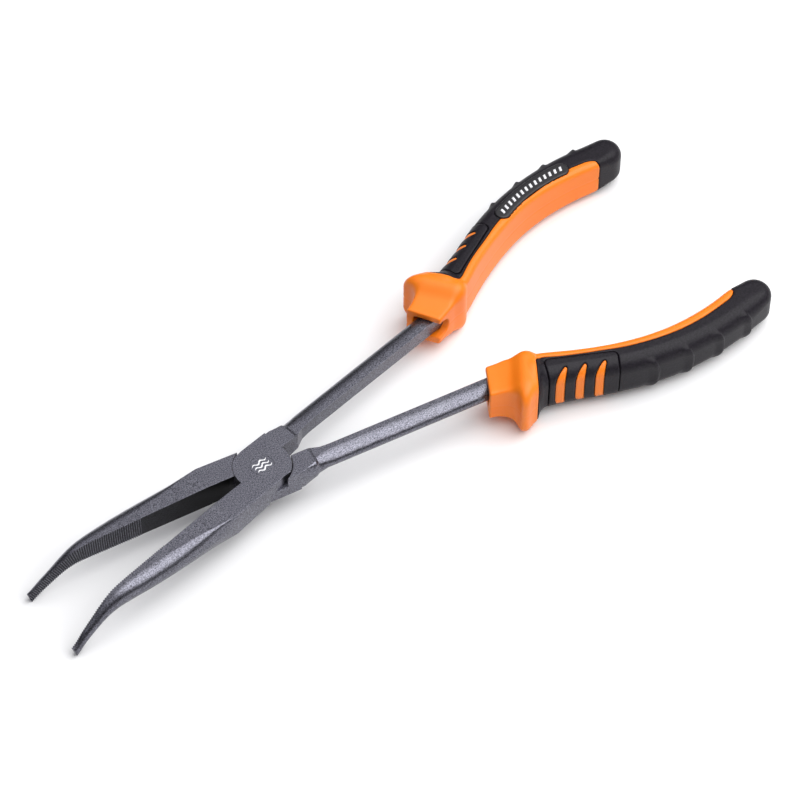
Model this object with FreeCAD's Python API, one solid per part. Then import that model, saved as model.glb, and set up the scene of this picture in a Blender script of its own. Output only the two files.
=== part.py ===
"""Long-reach bent-nose fishing pliers: two lap-jointed steel levers on one rivet, with two-colour moulded grips.

Millimetres, +Z up. The origin is on the pivot axis, at the underside of the head. The jaws point along -X and bend
down at the tips; the handles run along +X. Each lever is drawn in the closed pose, as the one with its handle on +Y
and its jaw on -Y. The left lever is its mirror image. Both are then turned about the pivot to the open rest pose.
"""

import FreeCAD, Part
import math
import os

V = FreeCAD.Vector
UP = V(0, 0, 1)

# ---- pose and head
REST_OPENING = 16.82  # degrees between the gripping faces at rest
HEAD_THICKNESS = 8.8
MID_Z = HEAD_THICKNESS / 2
DISC_RADIUS = 10.0
HEAD_HALF_WIDTH = 9.2  # from the pivot to the head's flat side
DISC_FLAT_START = 1.0  # where the flat side ends beside the other lever's arc
DISC_FLAT_BLEND = 5.0
JAW_ARC_GAP = 0.1  # between a disc and the other lever's jaw
HANDLE_ARC_GAP = 0.4  # between a disc and the other lever's handle
LAP_GAP = 0.05

# ---- rivet: tight in the right lever, free to turn in the left
RIVET_RADIUS = 3.2
RIVET_FLARE = 1.0
RIVET_FLARE_DEPTH = 1.4
RIVET_RUNNING_GAP = 0.05

# ---- jaw, in distances forward of the pivot
JAW_REACH = 87.1
JAW_BLOCK_END = 20.0
JAW_BLOCK_START = 5.0  # where the underside starts to swell
JAW_BLOCK_REAR = -1.6  # the block runs this far behind the pivot
JAW_BLOCK_WIDTH = 8.8  # at its rear
JAW_BELLY = 1.2  # how far the jaw's underside swells below the head
JAW_TOP_TAPER = 0.055  # drop of the top face per mm ahead of the block
TOP_BEND = (69.5, 2.2, 0.76)  # where the top face bends down, how gently, and its slope after
BOTTOM_BEND = (71.5, 2.0, 0.72)
BOTTOM_SAG = 0.2
GRIP_FACE_GAP = 0.05  # from each gripping face to the closing plane
TIP_FACE_LEAN = 0.25  # sideways per mm of height, of the tip's end face
# distance ahead of the pivot, half-section width, and width of its flat top
JAW_SECTIONS = (
    (20, 9.35, 9.1),
    (24, 9.35, 8.4),
    (30, 9.15, 6.9),
    (38, 8.75, 5.1),
    (46, 8.1, 3.7),
    (54, 7.1, 2.6),
    (60, 6.1, 1.9),
    (65, 5.15, 1.4),
    (69, 4.35, 1.0),
    (73, 3.6, 0.8),
    (78, 2.85, 0.6),
    (83, 2.4, 0.5),
    (JAW_REACH, 2.1, 0.5),
)

# ---- gripping teeth
TEETH_START = 45.0
TOOTH_PITCH = 0.8
TOOTH_DEPTH = 0.36
RELIEF_DEPTH = 0.3  # the plain part of the gripping face, behind the teeth

# ---- handle shaft: x, inner face, edge of the flat top, outer side, bottom face, top face
SHAFT_SECTIONS = (
    (0.0, 0.9, 8.7, 9.2, 0.0, 8.8),
    (11.6, 0.9, 8.6, 9.2, 0.2, 8.8),
    (16.4, 0.9, 7.0, 8.9, 1.2, 8.75),
    (17.4, 0.9, 5.4, 8.6, 1.4, 8.45),
    (20.5, 2.0, 4.6, 8.6, 2.5, 8.4),
    (24.0, 2.3, 4.2, 8.8, 2.65, 8.45),
    (90.0, 2.95, 4.9, 9.4, 2.65, 8.6),
)
# ---- tang inside the grip: centre x, y and z, width, height
TANG_SECTIONS = (
    (88.0, 6.1, 5.6, 5.6, 5.4),
    (103.0, 10.6, 4.8, 4.8, 5.4),
    (117.0, 15.1, 4.1, 4.6, 5.4),
    (131.0, 18.8, 4.1, 4.4, 5.2),
    (148.0, 20.6, 4.1, 4.2, 5.0),
    (163.0, 19.6, 4.1, 4.0, 4.6),
)

# ---- grip envelope: centre x, centre y, half width, half height
GRIP_MID_Z = 4.1
GRIP_SECTIONS = (
    (95.0, 8.4, 6.2, 9.5),
    (103.0, 10.7, 6.0, 9.5),
    (112.0, 13.5, 5.4, 9.4),
    (122.0, 16.6, 5.4, 9.1),
    (132.0, 19.0, 5.5, 8.9),
    (144.0, 20.5, 5.5, 8.8),
    (156.0, 20.4, 5.8, 8.4),
    (168.0, 18.7, 6.1, 8.0),
    (178.0, 16.2, 6.3, 7.7),
    (185.3, 14.1, 6.0, 7.4),
)
GRIP_INNER_RADIUS = 2.2
GRIP_OUTER_RADIUS = 5.4
GRIP_END_RADIUS = 4.2
SOFT_THICKNESS = 2.4
CORE_END = 4.5  # how far the hard core stops short of the last full section
RIBS = (139.9, 152.6, 165.1, 177.6)
RIB_HEIGHT = 0.65
RIB_LENGTH = 3.2

# ---- soft grip outline seen from above: its border with the hard core
SOFT_BORDER = (
    (104.0, 7.7),
    (108.9, 9.8),
    (115.5, 12.0),
    (122.3, 13.9),
    (128.6, 15.8),
    (136.0, 17.3),
    (143.4, 18.3),
    (151.2, 18.5),
    (159.8, 17.7),
    (168.0, 16.0),
    (173.6, 14.5),
)
SOFT_FRONT_CORNER = (100.6, 6.9)
SOFT_FRONT_OUTER = (94.6, 20.8)
CAP_SEAM = (177.0, 11.8, 177.4, 7.0)

# ---- claw pad and its three claws
PAD_CORNERS = ((102.6, 8.6), (126.9, 16.6), (123.7, 27.0), (99.4, 24.5))
PAD_CORNER_RADIUS = 2.0
PAD_GROOVE = 0.3
CLAW_COUNT = 3
CLAW_STEP = (6.65, 1.85)
# front foot, rear foot, and the rounded tip's rear end, middle and front end
CLAW_OUTLINE = ((97.0, 19.7), (100.0, 24.0), (108.45, 15.45), (108.46, 14.77), (107.55, 14.75))

# ---- badge plate, on one side of each grip
BADGE_CENTRE = ((135.2, 18.1), (149.5, 19.7), (164.9, 17.9))
BADGE_HALF_WIDTH = 2.9
BADGE_PROUD = 0.35
BADGE_DEPTH = 1.0
BADGE_SKIRT = 5.0  # height above the grip's middle from which the plate may start

# ---- collar and flange of the hard core, along an axis leaning outward from the shaft
COLLAR_LEAN = 22.0
COLLAR_MOUTH = (83.4, 4.7)
COLLAR_MID_Z = 5.1
# distance along the axis, inner edge, outer edge, middle's height, half height
COLLAR_SECTIONS = (
    (0.0, -4.9, 7.8, 4.7, 6.7),
    (4.0, -5.9, 7.4, 4.9, 6.6),
    (8.0, -6.4, 8.0, 4.7, 7.6),
    (12.5, -6.9, 10.0, 4.2, 9.6),
    (16.0, -6.6, 8.6, 4.1, 9.7),
)
COLLAR_CORNER = 2.0
FLANGE_AT = 12.8
FLANGE_THICKNESS = 3.2
FLANGE_INNER = -7.2
FLANGE_OUTER = 13.8
FLANGE_HALF_HEIGHT = 10.3
FLANGE_CORNER = 5.0
MOUTH_INNER = -3.4
MOUTH_OUTER = 5.2
MOUTH_HALF_HEIGHT = 3.9
MOUTH_DEPTH = 7.0
NOTCH_DEPTH = 5.2
NOTCH_HALF_HEIGHT = 3.7
FAR = 60.0  # reach of the cutting prisms


def soft_step(distance, bend):
    """Drop of a face that runs straight, then bends down at a place, with a softness, to a slope."""
    place, softness, slope = bend
    return slope * softness * math.log1p(math.exp((distance - place) / softness))


def jaw_top(distance):
    straight = HEAD_THICKNESS - JAW_TOP_TAPER * max(0.0, distance - JAW_BLOCK_END)
    return straight - soft_step(distance, TOP_BEND)


def jaw_bottom(distance):
    swell = JAW_BELLY * min(1.0, max(0.0, distance - JAW_BLOCK_START) / (JAW_BLOCK_END - JAW_BLOCK_START))
    sag = BOTTOM_SAG * min(1.0, max(0.0, distance - JAW_BLOCK_END) / 20.0)
    return -swell - sag - soft_step(distance, BOTTOM_BEND)


def quarter(start, end, corner):
    """A quarter of an ellipse from start to end, bulging towards their corner, as one Bezier curve."""
    k = 0.5523
    a = start + (corner - start) * k
    b = end + (corner - end) * k
    curve = Part.BezierCurve()
    curve.setPoles([start, a, b, end])
    return curve.toShape()


def half_round(x, inner, flat, outer, bottom, top, lean=0.0):
    """A D-shaped section at x, upright or leaning: straight inner side, flat top and bottom, rounded outer side."""

    def at(y, z):
        return V(x + lean * (top - z), y, z)

    middle = (top + bottom) / 2
    return Part.Wire(
        [
            Part.makeLine(at(inner, bottom), at(inner, top)),
            Part.makeLine(at(inner, top), at(flat, top)),
            quarter(at(flat, top), at(outer, middle), at(outer, top)),
            quarter(at(outer, middle), at(flat, bottom), at(outer, bottom)),
            Part.makeLine(at(flat, bottom), at(inner, bottom)),
        ]
    )


def rounded_section(centre, across, inner, outer, half_height, inner_radius, outer_radius):
    """An upright section through centre. It spans inner..outer along across, with its own corner radii."""

    def at(t, z):
        return centre + across * t + UP * z

    h, ri, ro = half_height, inner_radius, outer_radius
    edges = [
        Part.makeLine(at(inner, -h + ri), at(inner, h - ri)),
        quarter(at(inner, h - ri), at(inner + ri, h), at(inner, h)),
        Part.makeLine(at(inner + ri, h), at(outer - ro, h)),
        quarter(at(outer - ro, h), at(outer, h - ro), at(outer, h)),
        Part.makeLine(at(outer, h - ro), at(outer, -h + ro)),
        quarter(at(outer, -h + ro), at(outer - ro, -h), at(outer, -h)),
        Part.makeLine(at(outer - ro, -h), at(inner + ri, -h)),
        quarter(at(inner + ri, -h), at(inner, -h + ri), at(inner, -h)),
    ]
    return Part.Wire(edges)


def loft(wires, ruled=False):
    return Part.makeLoft(wires, True, ruled)


def prism(points, z_low=-FAR, z_high=FAR):
    """An upright prism on a polygon of (x, y) points."""
    corners = [V(x, y, z_low) for x, y in points]
    face = Part.Face(Part.makePolygon(corners + corners[:1]))
    return face.extrude(UP * (z_high - z_low))


def prism_on(edges, z_low=-FAR, z_high=FAR):
    """An upright prism on a closed run of edges drawn at z = 0."""
    face = Part.Face(Part.Wire(edges))
    face.translate(UP * z_low)
    return face.extrude(UP * (z_high - z_low))


def one_solid(shape, name):
    """The shape's only real solid; slivers left by a cut are dropped."""
    solids = sorted(shape.Solids, key=lambda s: s.Volume)
    if len(solids) > 1 and solids[-2].Volume > 0.5:
        raise ValueError(f"{name} is in {len(solids)} pieces: {[round(s.Volume, 2) for s in solids]}")
    return solids[-1]


# ------------------------------------------------------------------ lever


def jaw():
    """The jaw, on -Y, from the pivot to the tip, with its relief and teeth cut."""
    stages = (
        (JAW_BLOCK_REAR, JAW_BLOCK_WIDTH),
        (JAW_BLOCK_START, JAW_BLOCK_WIDTH + 0.15),
        (JAW_BLOCK_END, JAW_SECTIONS[0][1]),
    )
    edge = JAW_SECTIONS[0][1] - JAW_SECTIONS[0][2]
    block = loft(
        [half_round(-d, -GRIP_FACE_GAP, edge - width, -width, jaw_bottom(d), jaw_top(d)) for d, width in stages],
        ruled=True,
    )
    wires = []
    for d, width, flat in JAW_SECTIONS:
        lean = TIP_FACE_LEAN if d == JAW_REACH else 0.0
        wires.append(half_round(-d, -GRIP_FACE_GAP, -flat, -width, jaw_bottom(d), jaw_top(d), lean))
    whole = block.fuse(loft(wires)).removeSplitter()
    relief = prism(
        [
            (-TEETH_START, -GRIP_FACE_GAP - RELIEF_DEPTH),
            (2, -GRIP_FACE_GAP - RELIEF_DEPTH),
            (2, 1),
            (-TEETH_START, 1),
        ]
    )
    return whole.cut(relief).cut(Part.makeCompound(teeth_grooves()))


def teeth_grooves():
    """V grooves across the gripping face, square to the jaw's own line as it bends."""
    grooves = []
    depth = GRIP_FACE_GAP + TOOTH_DEPTH
    half = TOOTH_PITCH * 0.5 * depth / TOOTH_DEPTH
    distance = TEETH_START + TOOTH_PITCH / 2
    while distance < JAW_REACH + 2:
        slope = (jaw_top(distance - 0.5) + jaw_bottom(distance - 0.5)) / 2
        slope -= (jaw_top(distance + 0.5) + jaw_bottom(distance + 0.5)) / 2
        angle = math.degrees(math.atan(slope))
        middle = (jaw_top(distance) + jaw_bottom(distance)) / 2
        v = Part.makePolygon([V(-half, 0, -8), V(half, 0, -8), V(0, -depth, -8), V(-half, 0, -8)])
        groove = Part.Face(v).extrude(UP * 16)
        groove.rotate(V(0, 0, 0), V(0, 1, 0), -0.75 * angle)
        groove.translate(V(-distance, 0, middle))
        grooves.append(groove)
        distance += TOOTH_PITCH * math.cos(math.radians(angle))
    return grooves


def shaft():
    """The handle's steel from the pivot to the grip, on +Y."""
    wires = [
        half_round(x, inner, flat, outer, bottom, top) for x, inner, flat, outer, bottom, top in SHAFT_SECTIONS
    ]
    return loft(wires, ruled=True)


def tang():
    """The steel inside the grip, which follows the grip's bend."""
    wires = []
    for x, y, z, width, height in TANG_SECTIONS:
        wires.append(rounded_section(V(x, y, z), V(0, 1, 0), -width / 2, width / 2, height / 2, 0.8, 0.8))
    return loft(wires)


def disc_outline():
    """The lap's plan: an arc beside each of the other lever's shoulders, joined by the head's flat sides."""
    blend_y = math.sqrt(DISC_RADIUS**2 - DISC_FLAT_BLEND**2)
    left = V(-DISC_RADIUS, 0, 0)
    right = V(DISC_RADIUS, 0, 0)
    up_blend = V(-DISC_FLAT_BLEND, blend_y, 0)
    up_flat = V(-DISC_FLAT_START, HEAD_HALF_WIDTH, 0)
    up_end = V(0, HEAD_HALF_WIDTH, 0)
    left_mid = V(-DISC_RADIUS * math.cos(0.5), DISC_RADIUS * math.sin(0.5), 0)
    jaw_flat = V(-JAW_BLOCK_REAR, -JAW_BLOCK_WIDTH + 0.3, 0)
    edges = [
        Part.Arc(left, left_mid, up_blend).toShape(),
        Part.makeLine(up_blend, up_flat),
        Part.makeLine(up_flat, up_end),
        Part.makeLine(up_end, V(right.x, up_end.y, 0)),
        Part.makeLine(V(right.x, up_end.y, 0), right),
        Part.Arc(right, -left_mid, -up_blend).toShape(),
        Part.makeLine(-up_blend, jaw_flat),
        Part.makeLine(jaw_flat, V(left.x, jaw_flat.y, 0)),
        Part.makeLine(V(left.x, jaw_flat.y, 0), left),
    ]
    return edges


def disc_room(z_low, z_high):
    """The space kept for the other lever's disc."""
    height = z_high - z_low
    jaw_side = Part.makeCylinder(DISC_RADIUS + JAW_ARC_GAP, height, V(0, 0, z_low), UP, 180)
    jaw_side.rotate(V(0, 0, 0), UP, 90)
    handle_side = Part.makeCylinder(DISC_RADIUS + HANDLE_ARC_GAP, height, V(0, 0, z_low), UP, 180)
    handle_side.rotate(V(0, 0, 0), UP, -90)
    return jaw_side.fuse(handle_side)


def lever(upper_lap):
    """One lever in the closed pose, handle on +Y. upper_lap says which half of the head it keeps."""
    lap_face = MID_Z + LAP_GAP / 2 if upper_lap else MID_Z - LAP_GAP / 2
    other_lap = (-FAR, lap_face) if upper_lap else (lap_face, FAR)
    disc = prism_on(disc_outline(), 0, HEAD_THICKNESS)
    body = disc.fuse(shaft()).fuse(jaw()).fuse(tang())
    return body.cut(disc_room(*other_lap)).removeSplitter()


def rivet_shape(extra):
    """The rivet, or with extra the hole that it turns in: a shank flared at both flush ends."""
    shank = Part.makeCylinder(RIVET_RADIUS + extra, HEAD_THICKNESS)
    wide, narrow = RIVET_RADIUS + RIVET_FLARE + extra, RIVET_RADIUS + extra
    low = Part.makeCone(wide, narrow, RIVET_FLARE_DEPTH)
    high = Part.makeCone(narrow, wide, RIVET_FLARE_DEPTH, V(0, 0, HEAD_THICKNESS - RIVET_FLARE_DEPTH))
    return shank.fuse(low).fuse(high).removeSplitter()


# ------------------------------------------------------------------ grip


def grip_direction(index):
    """Unit vector along the grip's centre line at one of its sections."""
    before = GRIP_SECTIONS[max(index - 1, 0)]
    after = GRIP_SECTIONS[min(index + 1, len(GRIP_SECTIONS) - 1)]
    return V(after[0] - before[0], after[1] - before[1], 0).normalize()


def envelope(offset, with_end=True):
    """The grip's outer shape, grown or shrunk by offset, with a rounded end or cut short of it."""
    wires = []
    for index, (x, y, half_width, half_height) in enumerate(GRIP_SECTIONS):
        along = grip_direction(index)
        across = UP.cross(along)
        w, h = half_width + offset, half_height + offset
        ri, ro = max(GRIP_INNER_RADIUS + offset, 0.8), GRIP_OUTER_RADIUS + offset
        centre = V(x, y, GRIP_MID_Z)
        if index == len(GRIP_SECTIONS) - 1 and not with_end:
            centre = centre - along * CORE_END
        wires.append(rounded_section(centre, across, -w, w, h, ri, ro))
    if with_end:
        for degrees in (30, 55, 75):
            turn = math.radians(degrees)
            inset = (GRIP_END_RADIUS + offset) * (1 - math.cos(turn))
            place = centre + along * (GRIP_END_RADIUS + offset) * math.sin(turn)
            radius = GRIP_OUTER_RADIUS + offset - inset * 0.6
            inner = GRIP_INNER_RADIUS + offset
            wires.append(rounded_section(place, across, -w + inset, w - inset, h - inset, inner, radius))
    return loft(wires)


def rib_bumps():
    """Four low saw-tooth ribs on the outer side of the grip, as full-height wedges to be trimmed to the grip."""
    bumps = []
    for x in RIBS:
        index = min(range(len(GRIP_SECTIONS)), key=lambda i: abs(GRIP_SECTIONS[i][0] - x))
        cx, cy, half_width, half_height = GRIP_SECTIONS[index]
        along = grip_direction(index)
        across = UP.cross(along)
        foot = V(cx, cy, GRIP_MID_Z) + along * ((x - cx) / along.x) + across * half_width
        points = [
            foot - along * RIB_LENGTH - across * 0.6,
            foot - along * 0.6 + across * RIB_HEIGHT,
            foot + along * 0.7 - across * 0.6,
        ]
        face = Part.Face(Part.makePolygon(points + points[:1]))
        face.translate(UP * (-half_height * 0.42))
        bumps.append(face.extrude(UP * half_height * 0.84))
    return bumps


def soft_region():
    """Everything that the soft grip covers, seen from above."""
    corner, outer = SOFT_FRONT_CORNER, SOFT_FRONT_OUTER
    curve = Part.BSplineCurve()
    curve.interpolate([V(x, y, 0) for x, y in SOFT_BORDER])
    seam_x, seam_y, end_x, end_y = CAP_SEAM
    far_y = 2 * FAR
    start = V(SOFT_BORDER[0][0], SOFT_BORDER[0][1], 0)
    end = V(SOFT_BORDER[-1][0], SOFT_BORDER[-1][1], 0)
    front_in = V(corner[0] - 0.6, corner[1] + 1.6, 0)
    front_out = V(outer[0], outer[1], 0)
    edges = [
        curve.toShape(),
        quarter(end, V(seam_x, seam_y, 0), V(seam_x - 0.6, end.y - 0.3, 0)),
        Part.makeLine(V(seam_x, seam_y, 0), V(end_x, end_y, 0)),
        Part.makeLine(V(end_x, end_y, 0), V(end_x, -FAR, 0)),
        Part.makeLine(V(end_x, -FAR, 0), V(4 * FAR, -FAR, 0)),
        Part.makeLine(V(4 * FAR, -FAR, 0), V(4 * FAR, far_y, 0)),
        Part.makeLine(V(4 * FAR, far_y, 0), V(front_out.x - 8, far_y, 0)),
        Part.makeLine(V(front_out.x - 8, far_y, 0), front_out),
        Part.makeLine(front_out, front_in),
        quarter(front_in, start, V(corner[0], corner[1] - 0.3, 0)),
    ]
    return prism_on(edges)


def pad_region(shrink):
    """The claw pad's outline, shrunk by a margin, with rounded corners."""
    corners = [V(x, y, -FAR) for x, y in PAD_CORNERS]
    outline = Part.makePolygon(corners + corners[:1])
    if shrink:
        outline = outline.makeOffset2D(-shrink, 2)
    block = Part.Face(outline).extrude(UP * 2 * FAR)
    upright = [e for e in block.Edges if abs(e.Vertexes[0].Z - e.Vertexes[-1].Z) > 1]
    return block.makeFillet(PAD_CORNER_RADIUS - shrink, upright)


def claws():
    """Three claws, each wide at the grip's outer side and narrowing to a rounded tip on its top and bottom."""
    prisms = []
    for index in range(CLAW_COUNT):
        shift = V(CLAW_STEP[0] * index, CLAW_STEP[1] * index, 0)
        front, rear, tip_rear, tip, tip_front = (V(x, y, 0) + shift for x, y in CLAW_OUTLINE)
        edges = [
            Part.makeLine(front, rear),
            Part.makeLine(rear, tip_rear),
            Part.Arc(tip_rear, tip, tip_front).toShape(),
            Part.makeLine(tip_front, front),
        ]
        prisms.append(prism_on(edges))
    return Part.makeCompound(prisms)


def badge_region(upper):
    """The badge plate's oblong outline, bent along the grip, on its upper or lower half only."""
    first, middle, last = (V(x, y, 0) for x, y in BADGE_CENTRE)
    circle = Part.Arc(first, middle, last).toShape().Curve
    centre, radius = circle.Center, circle.Radius
    w = BADGE_HALF_WIDTH

    def out(point, by):
        return centre + (point - centre) * ((radius + by) / radius)

    def past(point, other, by):
        """A point beyond the end of the centre line, square to the radius there."""
        spoke = (point - centre).normalize()
        side = UP.cross(spoke)
        return point + side * (by if side.dot(point - other) > 0 else -by)

    edges = [
        Part.Arc(out(first, w), out(middle, w), out(last, w)).toShape(),
        Part.Arc(out(last, w), past(last, first, w), out(last, -w)).toShape(),
        Part.Arc(out(last, -w), out(middle, -w), out(first, -w)).toShape(),
        Part.Arc(out(first, -w), past(first, last, w), out(first, w)).toShape(),
    ]
    if upper:
        return prism_on(edges, GRIP_MID_Z + BADGE_SKIRT, FAR)
    return prism_on(edges, -FAR, GRIP_MID_Z - BADGE_SKIRT)


def collar_frame(height=COLLAR_MID_Z):
    """Origin at a height, axis and sideways direction of the collar."""
    lean = math.radians(COLLAR_LEAN)
    along = V(math.cos(lean), math.sin(lean), 0)
    return V(COLLAR_MOUTH[0], COLLAR_MOUTH[1], height), along, UP.cross(along)


def collar():
    """The hard core's front: a flared collar with a thick rounded flange to stop the hand."""
    origin, along, across = collar_frame(0.0)
    wires = []
    for distance, inner, outer, middle, half_height in COLLAR_SECTIONS:
        place = origin + along * distance + UP * middle
        wires.append(rounded_section(place, across, inner, outer, half_height, COLLAR_CORNER, COLLAR_CORNER * 1.6))
    tube = loft(wires)
    half = FLANGE_THICKNESS / 2
    rings = []
    for place, inset in ((-half, 1.6), (-half * 0.6, 0.4), (half * 0.6, 0.4), (half, 1.6)):
        rings.append(
            rounded_section(
                origin + along * (FLANGE_AT + place) + UP * GRIP_MID_Z,
                across,
                FLANGE_INNER + inset,
                FLANGE_OUTER - inset,
                FLANGE_HALF_HEIGHT - inset,
                COLLAR_CORNER,
                FLANGE_CORNER,
            )
        )
    return tube.fuse(loft(rings))


def mouth_room():
    """The opening that the shaft enters, and the notch in its inner wall."""
    origin, along, across = collar_frame()
    wires = [
        rounded_section(origin + along * place, across, MOUTH_INNER, MOUTH_OUTER, MOUTH_HALF_HEIGHT, 1.0, 1.6)
        for place in (-4.0, MOUTH_DEPTH)
    ]
    notch_wires = []
    for t in (-12.0, MOUTH_INNER + 1.5):
        h, reach = NOTCH_HALF_HEIGHT, NOTCH_DEPTH

        def at(s, z):
            return origin + along * s + across * t + UP * z

        notch_wires.append(
            Part.Wire(
                [
                    Part.makeLine(at(-4, -h), at(reach - h * 0.6, -h)),
                    quarter(at(reach - h * 0.6, -h), at(reach, 0), at(reach, -h)),
                    quarter(at(reach, 0), at(reach - h * 0.6, h), at(reach, h)),
                    Part.makeLine(at(reach - h * 0.6, h), at(-4, h)),
                    Part.makeLine(at(-4, h), at(-4, -h)),
                ]
            )
        )
    return loft(wires).fuse(loft(notch_wires, ruled=True))


def grip(steel, badge_on_top):
    """The four pieces of one grip, fitted to each other and round the steel."""
    outer = envelope(0.0)
    inner = envelope(-SOFT_THICKNESS, with_end=False)
    region = soft_region()
    pad_hole = pad_region(0.0)
    badge_hole = badge_region(badge_on_top)
    bed = envelope(-BADGE_DEPTH, with_end=False)
    badge = envelope(BADGE_PROUD, with_end=False).common(badge_hole).cut(bed)
    claw_prisms = claws()

    hard = outer.cut(region).fuse(inner).fuse(collar())
    claw_shells = claw_prisms.common(outer).cut(inner)
    hard = hard.fuse(claw_shells)
    hard = hard.cut(mouth_room()).cut(steel).cut(badge)

    front = outer.common(region)
    for bump in rib_bumps():
        front = front.fuse(bump)
    hard_zone = inner.fuse(collar())
    soft = front.cut(hard_zone).cut(pad_hole).cut(badge)
    pad = outer.common(region).common(pad_region(PAD_GROOVE)).cut(hard_zone).cut(claw_prisms)
    return {
        "grip_core": one_solid(hard, "grip_core"),
        "soft_grip": one_solid(soft, "soft_grip"),
        "claw_pad": one_solid(pad, "claw_pad"),
        "badge_plate": one_solid(badge, "badge_plate"),
    }


# ------------------------------------------------------------------ assembly


def placed(shape, side):
    """A piece drawn for the right lever, moved to its side at the rest opening."""
    if side == "left":
        shape = shape.mirror(V(0, 0, 0), V(0, 1, 0))
    else:
        shape = shape.copy()
    shape.rotate(V(0, 0, 0), UP, REST_OPENING / 2 if side == "right" else -REST_OPENING / 2)
    return shape


def build():
    pieces = {}
    tight_rivet = rivet_shape(0.0)
    running_hole = rivet_shape(RIVET_RUNNING_GAP)
    for side in ("right", "left"):
        steel = lever(upper_lap=side == "right")
        parts = {"lever": one_solid(steel.cut(tight_rivet if side == "right" else running_hole), "lever")}
        parts.update(grip(steel, badge_on_top=side == "right"))
        for name, shape in parts.items():
            pieces[f"{name}_{side}"] = placed(shape, side)
    pieces["pivot_rivet"] = tight_rivet
    return pieces


os.makedirs("parts", exist_ok=True)
for node, shape in build().items():
    if not shape.isValid():
        raise ValueError(f"{node} is not valid")
    shape.exportStep(f"parts/{node}.step")
    print(node, round(shape.Volume), "mm3")
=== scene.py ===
"""Long-reach bent-nose fishing pliers: steel levers with a speckled coat, and two-colour moulded grips.

Each grip is drawn once in millimetres, in the closed pose, as the one with its handle on +Y. The left one
is its mirror image. Both are then turned about the pivot to the open rest pose and scaled to metres.
"""

import math
import bpy
import numpy as np
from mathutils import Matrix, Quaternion, Vector


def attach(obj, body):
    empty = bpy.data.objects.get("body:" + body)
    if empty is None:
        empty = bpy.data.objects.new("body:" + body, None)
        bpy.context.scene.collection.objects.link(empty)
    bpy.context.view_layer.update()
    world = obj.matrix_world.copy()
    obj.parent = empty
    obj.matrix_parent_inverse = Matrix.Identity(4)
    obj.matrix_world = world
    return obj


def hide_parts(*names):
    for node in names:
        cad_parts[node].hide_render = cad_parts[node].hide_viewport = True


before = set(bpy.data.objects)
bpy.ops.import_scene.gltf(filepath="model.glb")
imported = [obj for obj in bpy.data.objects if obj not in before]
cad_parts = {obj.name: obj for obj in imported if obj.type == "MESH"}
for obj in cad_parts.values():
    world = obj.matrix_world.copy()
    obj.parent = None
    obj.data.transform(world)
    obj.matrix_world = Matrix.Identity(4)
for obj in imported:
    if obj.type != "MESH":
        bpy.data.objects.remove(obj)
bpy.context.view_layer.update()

MM = 0.001
REST_TURN = math.radians(16.82 / 2)  # each lever's turn from the closed pose to rest
HEAD_TOP = 8.8
GRID_STEP = 0.35  # spacing of the grid that the moulded pieces are cut from
PART_LINE = 0.05  # half the hairline gap left where two moulded pieces meet
MOULD_EDGE = 0.3  # rounding of a moulded piece's edge at such a gap
GRID_LOW = (78.0, -6.0, -8.0)
GRID_HIGH = (193.0, 32.0, 16.5)
FAR = 1e9  # farther than any point of the grid

# ---- grip: x, centre y, half width, half height
GRIP_MID_Z = 4.1
GRIP_STATIONS = (
    (95.0, 8.4, 6.2, 9.5),
    (103.0, 10.7, 6.0, 9.5),
    (112.0, 13.5, 5.4, 9.4),
    (122.0, 16.6, 5.4, 9.1),
    (132.0, 19.0, 5.5, 8.9),
    (144.0, 20.5, 5.5, 8.8),
    (156.0, 20.4, 5.8, 8.4),
    (168.0, 18.7, 6.1, 8.0),
    (178.0, 16.2, 6.3, 7.7),
    (185.3, 14.1, 6.0, 7.4),
)
GRIP_LINE_POINTS = 420  # points along the centre line that places are measured from
INNER_EDGE_RADIUS = 2.2
OUTER_EDGE_RADIUS = 5.4
END_EDGE_RADIUS = 4.0
LEAST_EDGE_RADIUS = 0.6
EDGE_CHANGE_WIDTH = 4.0  # across the top, from the inner edge's radius to the outer one's
END_CHANGE_START = 8.0  # how far ahead of the last station the end's own radius begins
END_CHANGE_LENGTH = 9.0
END_LENGTH = 5.0
END_ROUND = 5.9
SOFT_THICKNESS = 2.4
CORE_END = 4.5
PARTING_DEPTH = 0.12  # the mould's parting line along the hard core
PARTING_WIDTH = 0.3

# ---- ribs on the outer side of the soft grip
RIB_PLACES = (139.7, 152.2, 164.2, 176.4)
RIB_HEIGHT = 0.9
RIB_RISE = 3.4
RIB_DROP = 0.55
RIB_BOW = 1.8  # how far the crest's ends lie ahead of its middle
RIB_MID_Z = 3.5
RIB_REACH = 7.6
RIB_END = 1.05  # share of the reach at which a rib has died out
RIB_FADE = 6.0

# ---- outline of the soft grip seen from above
SOFT_BORDER = (
    (104.0, 7.7),
    (108.9, 9.8),
    (115.5, 12.0),
    (122.3, 13.9),
    (128.6, 15.8),
    (136.0, 17.3),
    (143.4, 18.3),
    (151.2, 18.5),
    (159.8, 17.7),
    (168.0, 16.0),
    (173.6, 14.5),
)
SOFT_BORDER_POINTS = 60
BEND_STEPS = 10
SOFT_FRONT_OUTER = (94.6, 20.8)
SOFT_FRONT_START = (99.9, 9.1)
SOFT_FRONT_BEND = (100.6, 6.5)
CAP_BEND = (176.6, 13.3)
CAP_SEAM = ((177.0, 11.8), (177.4, 7.0))
SOFT_OUTSIDE = ((177.4, -60.0), (240.0, -60.0), (240.0, 120.0), (86.6, 120.0))  # clear of the grip

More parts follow.
